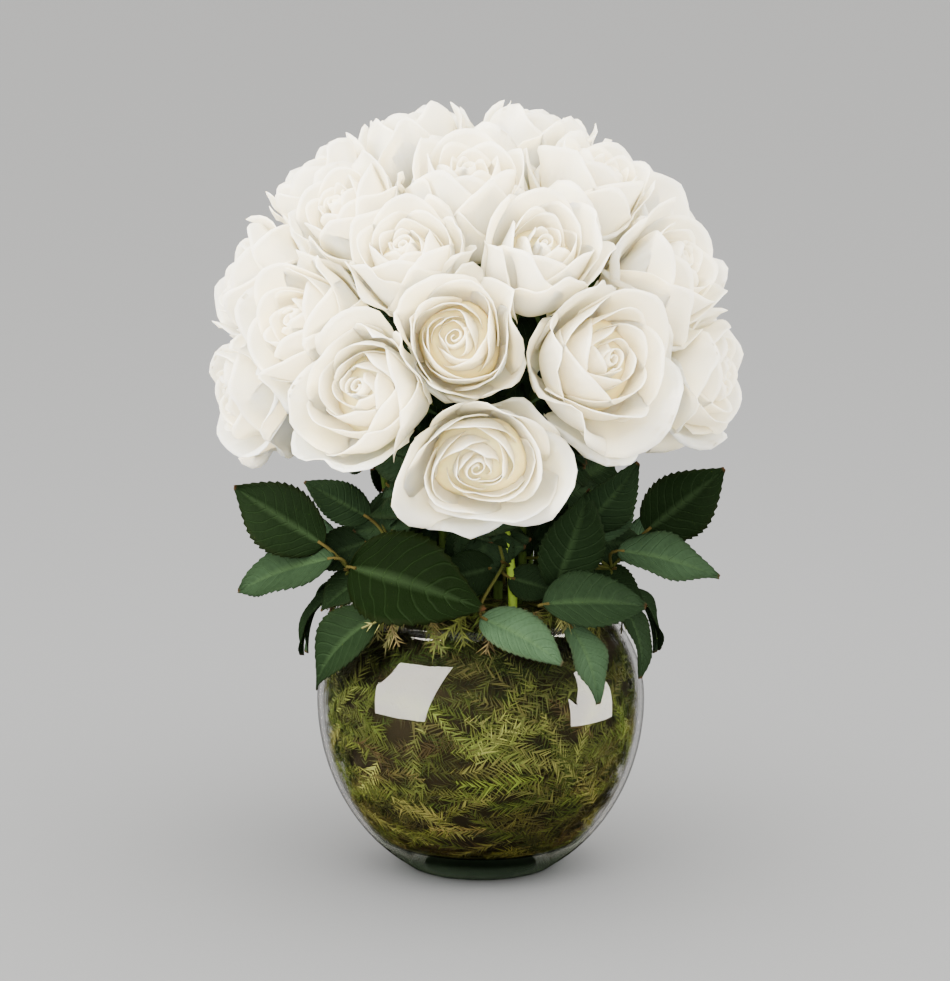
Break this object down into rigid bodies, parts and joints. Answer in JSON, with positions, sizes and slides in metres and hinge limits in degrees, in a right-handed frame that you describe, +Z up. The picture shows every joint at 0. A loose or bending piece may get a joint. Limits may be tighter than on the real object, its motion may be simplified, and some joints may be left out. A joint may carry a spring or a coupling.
{
  "type": "vase of roses",
  "caption": "Dome of open white roses with serrated green leaves standing in a round clear glass bowl packed with moss.",
  "frame": {"origin": "centre of the bowl's flat foot, on the surface that it stands on", "axes": "+Z up through the middle of the bowl and the dome of roses, -Y towards the front, +X to the right"},
  "size_m": [0.3126, 0.3162, 0.4651],
  "materials": {
    "clear_glass": "polished clear",
    "moss": "matte",
    "rose_green": "satin",
    "petal_white": "soft matte"
  },
  "bodies": {
    "root": {"glass_bowl": "clear_glass", "moss_bed": "moss", "stem_01": "rose_green", "stem_02": "rose_green", "stem_03": "rose_green", "stem_04": "rose_green", "stem_05": "rose_green", "stem_06": "rose_green", "stem_07": "rose_green", "stem_08": "rose_green", "stem_09": "rose_green", "stem_10": "rose_green", "stem_11": "rose_green", "stem_12": "rose_green", "stem_13": "rose_green", "stem_14": "rose_green", "stem_15": "rose_green", "stem_16": "rose_green", "stem_17": "rose_green", "stem_18": "rose_green", "stem_19": "rose_green", "stem_20": "rose_green", "stem_21": "rose_green", "stem_22": "rose_green", "stem_23": "rose_green", "bloom_01": "petal_white", "bloom_02": "petal_white", "bloom_03": "petal_white", "bloom_04": "petal_white", "bloom_05": "petal_white", "bloom_06": "petal_white", "bloom_07": "petal_white", "bloom_08": "petal_white", "bloom_09": "petal_white", "bloom_10": "petal_white", "bloom_11": "petal_white", "bloom_12": "petal_white", "bloom_13": "petal_white", "bloom_14": "petal_white", "bloom_15": "petal_white", "bloom_16": "petal_white", "bloom_17": "petal_white", "bloom_18": "petal_white", "bloom_19": "petal_white", "bloom_20": "petal_white", "bloom_21": "petal_white", "bloom_22": "petal_white", "bloom_23": "petal_white"}
  },
  "joints": []
}
